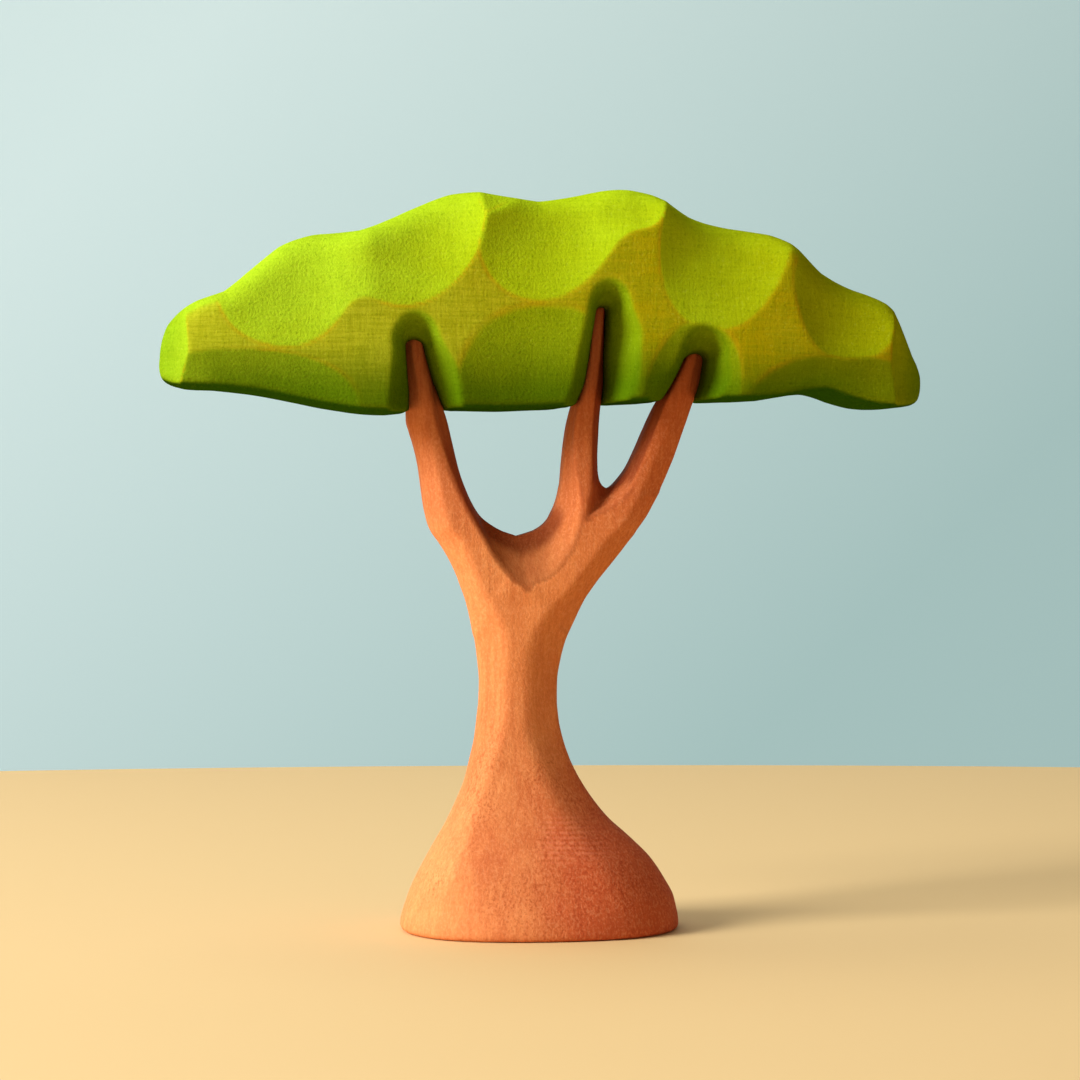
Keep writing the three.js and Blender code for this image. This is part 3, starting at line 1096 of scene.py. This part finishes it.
@dataclass
class Crown:
    """The painted board: a wavy outline, gouged hollows over and under both faces, and three grooves."""

    trunk: Trunk
    half_depth: float = 19.5
    seat: float = 5.8
    top: list[tuple[float, float]] = field(
        default_factory=lambda: [
            (-90.4, 136.0), (-88.6, 143.6), (-82, 149.0), (-75.5, 151.3), (-62.8, 162.0), (-55, 165.0),
            (-43.8, 165.9), (-33, 170.5), (-23.3, 174.6), (-16, 175.3), (-1.6, 173.3), (10.2, 175.4),
            (19.5, 176.3), (25.6, 174.8), (34.5, 169.8), (43.8, 167.5), (53.5, 165.9), (58.8, 163.3),
            (66.2, 157.0), (74.3, 153.0), (82.5, 149.6), (87.3, 143.2), (90.2, 137.5), (92.7, 132.5),
        ]
    )
    underside: list[tuple[float, float]] = field(
        default_factory=lambda: [
            (91.8, 126.9), (87.5, 125.2), (79, 125.4), (72.5, 127.0), (66.5, 128.7), (55, 127.1), (40, 126.6),
            (20, 126.0), (5, 124.9), (-10, 124.3), (-25, 124.3), (-36, 123.3), (-46, 123.9), (-58, 126.1),
            (-67, 127.8), (-78, 129.0), (-86.5, 129.6), (-90, 131.5),
        ]
    )
    over_front: tuple[Hollow, ...] = (
        Hollow(-60.1, 161.1, 17.2, 23.4, 5.9, lean=-15, square=2.3, run=0.34),
        Hollow(-31.2, 172.3, 17.8, 25.2, 7.0, lean=-20, square=2.2, blend=4.0, run=0.34),
        Hollow(-9.4, 178.8, 12.1, 11.0, 5.0),
        Hollow(2.7, 174.6, 17.2, 26.9, 6.0, lean=-25, square=2.2, run=0.14),
        Hollow(19.2, 178.6, 9.6, 12.8, 4.6, blend=3.4),
        Hollow(42.8, 168.1, 16.0, 26.2, 5.9, lean=-14, square=2.2, run=0.1),
        Hollow(71.4, 151.2, 12.8, 15.9, 3.7, lean=15, square=2.4),
    )
    under_front: tuple[Hollow, ...] = (
        Hollow(-72.0, 124.0, 28.0, 13.8, 3.8, square=2.2),
        Hollow(-0.4, 126.6, 22.2, 22.0, 2.8, lean=-6, square=2.2),
        Hollow(33.4, 126.2, 11.6, 19.2, 2.6, lean=-14, square=2.2),
        Hollow(70.2, 124.0, 23.4, 13.3, 3.4, square=2.2),
    )
    over_back: tuple[Hollow, ...] = (
        Hollow(-58.0, 161, 19.0, 23.0, 6.4, run=0.4),
        Hollow(-24.0, 174, 17.0, 26.0, 6.8, run=0.4),
        Hollow(9.5, 176, 17.6, 24.5, 6.2, run=0.4),
        Hollow(37.5, 171, 13.5, 23.0, 6.0, blend=3.6, run=0.4),
        Hollow(64.0, 158, 16.5, 21.0, 5.8, run=0.3),
    )
    under_back: tuple[Hollow, ...] = (
        Hollow(-72.0, 127, 16.0, 11.0, 3.4, square=2.4),
        Hollow(-49.0, 122, 16.0, 15.0, 2.8, square=2.2),
        Hollow(-8.0, 124, 15.0, 21.0, 2.6, square=2.2),
        Hollow(26.0, 125, 12.0, 16.0, 2.0, square=2.2),
        Hollow(60.0, 125, 19.0, 13.0, 3.2, square=2.5),
    )
    ends: tuple[Hollow, ...] = (
        Hollow(-103, 134, 19.3, 40, 13.0, square=2.2),
        Hollow(101, 132, 19.0, 40, 12.0, square=2.2),
    )

    def __post_init__(self) -> None:
        """Lay out the outline and the grooves."""
        self.outline = Outline(self.top + self.underside)
        self.grooves = (
            Groove(self.trunk.left, 141.0, 4.9, 4.2),
            Groove(self.trunk.middle, 149.0, 4.4, 5.4),
            Groove(self.trunk.outer, 138.0, 5.0, 4.6),
        )

    def plane(self, x: Grid) -> Grid:
        """Measure half the board's thickness at a place along it: it thins towards the ends."""
        return self.half_depth * (1 - np.clip(np.abs(x - 1) / 97.5, 0, 0.999) ** 4.6) ** 0.25

    def face(self, x: Grid, z: Grid, front: bool, even: bool = False) -> tuple[Grid, Grid, Grid, Grid]:
        """Measure one carved face.

        Args:
            x: across.
            z: up.
            front: whether it is the front face.
            even: whether to leave out how the hollows steepen.

        Returns:
            How far out the face is, how deep the hollows over it and under it cut, and how near a ridge is.
        """
        plane = self.plane(x)
        over = under = np.full(x.shape, -9.0)
        runner = np.full(x.shape, -9.0)
        for hollow in (*(self.over_front if front else self.over_back), *self.ends):
            cut = hollow.cut(x, z, even)
            runner = np.maximum(runner, np.minimum(over, cut))
            over = soft_max(over, cut, hollow.blend)
        for hollow in self.under_front if front else self.under_back:
            cut = hollow.cut(x, z, even)
            runner = np.maximum(runner, np.minimum(np.maximum(over, under), cut))
            under = soft_max(under, cut, hollow.blend)
        deepest = soft_max(soft_max(over, under, 0.4), np.zeros_like(over), 0.3)
        return plane - deepest, over, under, runner

    def solid(self, x: Grid, y: Grid, z: Grid) -> Grid:
        """Measure the whole crown's field at points, negative in the wood."""
        edge = self.outline.distance(x, z)
        front, back = self.face(x, z, True)[0], self.face(x, z, False)[0]
        face = np.where(y < 0, -y - front, y - back) * 0.9
        ease = 2.2 + 3.6 * step_up(z, 133, 150)
        wood = soft_max(edge, face, ease)
        for groove in self.grooves:
            wood = soft_max(wood, -groove.solid(x, y, z, self.seat, self.half_depth)[0], 1.1)
        return wood

    def marks(self, points: Grid, normals: Grid) -> dict[str, Grid]:
        """Work out where the flats, ridges, undersides and grooves are, for the paint and its painted shade.

        Args:
            points: the skin's points, in millimetres.
            normals: the way the skin faces at each.

        Returns:
            The marks, by name.
        """
        x, y, z = points.T
        found = {}
        for front in (True, False):
            out = self.face(x, z, front)[0]
            _, over, under, runner = self.face(x, z, front, even=True)
            near = step_up(np.abs(np.abs(y) - out), 1.6, 0.5)
            top = np.maximum(over, under)
            shallow = step_up(top, -0.4, 0.1)
            found[front] = (
                near * step_up(top, 0.3, -0.15),
                near * step_up(np.abs(top - np.maximum(runner, 0)), 0.4, 0.08) * shallow,
                near * step_up(under - np.maximum(over, 0), -0.2, 0.5),
            )
        flat, ridge, under = (np.where(y < 0, a, b) for a, b in zip(found[True], found[False]))
        groove = np.zeros_like(x)
        slot_shadow = np.zeros_like(x)
        for one in self.grooves:
            reach, share = one.solid(x, y, z, self.seat, self.half_depth)
            inside = step_up(reach, 1.0, 0.1)
            groove = np.maximum(groove, inside)
            slot_shadow = np.maximum(slot_shadow, inside * step_up(share, 0.2, 0.0))
        return {
            "flat": flat * (1 - groove),
            "ridge": ridge * (1 - groove),
            "under": under,
            "underside_shade": step_up(-normals[:, 2], 0.4, 0.85) * (1 - groove),
            "groove": groove,
            "slot_shadow": slot_shadow,
            "carved": 1 - 0.75 * flat,
        }


# ---- The bench ------------------------------------------------------------------------------------


class Workshop:
    """Carves the two boards, dresses them and sets them on the frame."""

    ROUGH_CELL, FINE_CELL = 1.3, 0.64
    TRUNK_CELL_SHARE = 0.86

    def __init__(self) -> None:
        """Lay out the boards and the tools."""
        self.trunk = Trunk()
        self.crown = Crown(self.trunk)
        self.tools = ToolMarks()
        self.cell = self.FINE_CELL

    def carve(
        self,
        name: str,
        board: Union[Trunk, Crown],
        box: tuple[Sequence[float], Sequence[float]],
        cell: float,
        tool: Tool,
        run: float,
        material: bpy.types.Material,
    ) -> bpy.types.Object:
        """Carve one board.

        Args:
            name: the piece's name.
            board: the board.
            box: the space that it lies in, in metres.
            cell: the size of its mesh, in millimetres.
            tool: the tool that leaves the last marks.
            run: which run of strokes it gets.
            material: its finish.

        Returns:
            The finished piece.
        """
        low, high = np.array(box[0]) / MM - 1.5 * cell, np.array(box[1]) / MM + 2.5 * cell
        carver = Carver(board.solid, low, high, cell)
        points, faces = carver.skin()
        slope = carver.slope(points, 0.2)
        normals = slope / np.maximum(np.linalg.norm(slope, axis=1, keepdims=True), 1e-9)
        piece = mesh_piece(name, points, faces, board.marks(points, normals))
        self.tools.work(piece, tool, run, material)
        log.info("%s: %d faces", name, len(piece.data.polygons))
        return piece

    def make_trunk(self) -> None:
        """Carve the trunk with its boughs, in place of their five solids."""
        nodes = ("trunk", "left_bough", "right_limb", "middle_bough", "right_bough")
        boxes = [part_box(node) for node in nodes]
        low = [min(box[0][k] for box in boxes) for k in range(3)]
        high = [max(box[1][k] for box in boxes) for k in range(3)]
        cell = self.cell * self.TRUNK_CELL_SHARE
        finish = TrunkStain().make()
        piece = self.carve("carved_trunk", self.trunk, (low, high), cell, Tool.KNIFE, 2.0, finish)
        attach(piece, "root")
        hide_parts(*nodes)

    def make_crown(self) -> None:
        """Carve the crown, in place of its solid."""
        low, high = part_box("crown")
        finish = CrownPaint().make()
        piece = self.carve("carved_crown", self.crown, (low, high), self.cell, Tool.GOUGE, 5.0, finish)
        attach(piece, "root")
        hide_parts("crown")


@dataclass
class Studio:
    """A pale table top and wall, soft daylight from the left, and the camera."""

    distance: float = 0.7
    turn: float = -7.0
    eye: float = 0.1027
    lens: float = 97.2
    dip: float = 0.786
    middle: float = 0.09
    table_radius: float = 1.35
    wall_behind: float = 2.2
    room_light: float = 0.24

    def plain(self, name: str, near: Colour, far: Colour, glow: float) -> bpy.types.Material:
        """Make a plain matt material for the stage, with painted light: lighter at the upper left, by the
        window.

        Args:
            name: its name.
            near: its colour at the upper left, painted lighter by the window.
            far: its colour at the lower right, in painted shade.
            glow: how bright it glows of itself, painted light for a wall far from the lamps.

        Returns:
            The material.
        """
        sheet = Sheet(name)
        # Painted light: the stage pales towards the upper left, by the window.
        window_falloff = sheet.axis("X") * 0.0008 - sheet.axis("Y") * 0.0008 + 0.5
        colour = sheet.mix(window_falloff.clamp(), near, far)
        shader = sheet.node(
            "ShaderNodeBsdfPrincipled",
            {},
            {"Base Color": colour, "Roughness": 0.8, "Emission Color": colour, "Emission Strength": glow},
        )
        sheet.node("ShaderNodeOutputMaterial", {}, {"Surface": shader})
        return sheet.material

    def stage(self) -> None:
        """Lay the table top and stand the wall behind it."""
        bpy.ops.mesh.primitive_cylinder_add(
            vertices=180, radius=self.table_radius, depth=0.02, location=(-0.06, -0.92, -0.0101)
        )
        table = bpy.context.object
        table.name = "table_top"
        table.data.materials.append(self.plain("table", tone(228, 192, 136), tone(206, 158, 102), 0.0))
        upright = (math.pi / 2, 0, 0)
        bpy.ops.mesh.primitive_plane_add(size=8, location=(0, self.wall_behind, 0), rotation=upright)
        wall = bpy.context.object
        wall.name = "wall"
        # Painted light: the wall glows of itself.
        wall.data.materials.append(self.plain("wall", tone(200, 221, 224), tone(160, 190, 192), 0.55))

    def lamp(
        self, name: str, place: Sequence[float], size: float, power: float, colour: Sequence[float]
    ) -> None:
        """Hang one square lamp that faces the tree.

        Args:
            name: its name.
            place: where it hangs, in metres.
            size: its side.
            power: its power in watts.
            colour: its colour.
        """
        data = bpy.data.lights.new(name, "AREA")
        data.size, data.energy, data.color = size, power, colour
        lamp = bpy.data.objects.new(name, data)
        lamp.location = place
        aim = Vector((0, 0, self.middle)) - Vector(place)
        lamp.rotation_euler = aim.to_track_quat("-Z", "Y").to_euler()
        bpy.context.scene.collection.objects.link(lamp)

    def light(self) -> None:
        """Light the tree like a window on its left, with a pale room around it."""
        self.lamp("window", (-1.4, -0.5, 0.85), 0.7, 41.0, (0.97, 1.0, 0.96))
        self.lamp("skylight", (-0.5, 0.3, 1.5), 1.0, 7.0, (0.96, 1.0, 0.95))
        self.lamp("front fill", (0.3, -1.8, 0.4), 1.6, 2.0, (1.0, 0.9, 0.78))
        world = bpy.data.worlds.new("room")
        world.use_nodes = True
        room = world.node_tree.nodes["Background"]
        room.inputs["Color"].default_value = (1.0, 0.84, 0.64, 1)
        room.inputs["Strength"].default_value = self.room_light
        bpy.context.scene.world = world
        bpy.context.scene.view_settings.view_transform = "Standard"

    def camera(self) -> None:
        """Set the camera: nearly level, a little to the left of the tree."""
        data = bpy.data.cameras.new("camera")
        data.lens, data.sensor_width, data.sensor_fit = self.lens, 36.0, "HORIZONTAL"
        data.clip_start = 0.01
        camera = bpy.data.objects.new("camera", data)
        turn = math.radians(self.turn)
        camera.location = (self.distance * math.sin(turn), -self.distance * math.cos(turn), self.eye)
        camera.rotation_euler = (math.radians(90 - self.dip), 0, turn)
        bpy.context.scene.collection.objects.link(camera)
        bpy.context.scene.camera = camera


def main() -> None:
    """Build the tree and the room around it."""
    studio = Studio()
    studio.camera()
    studio.stage()
    studio.light()
    workshop = Workshop()
    workshop.make_trunk()
    workshop.make_crown()
    log.info("done")


if __name__ == "__main__":
    main()
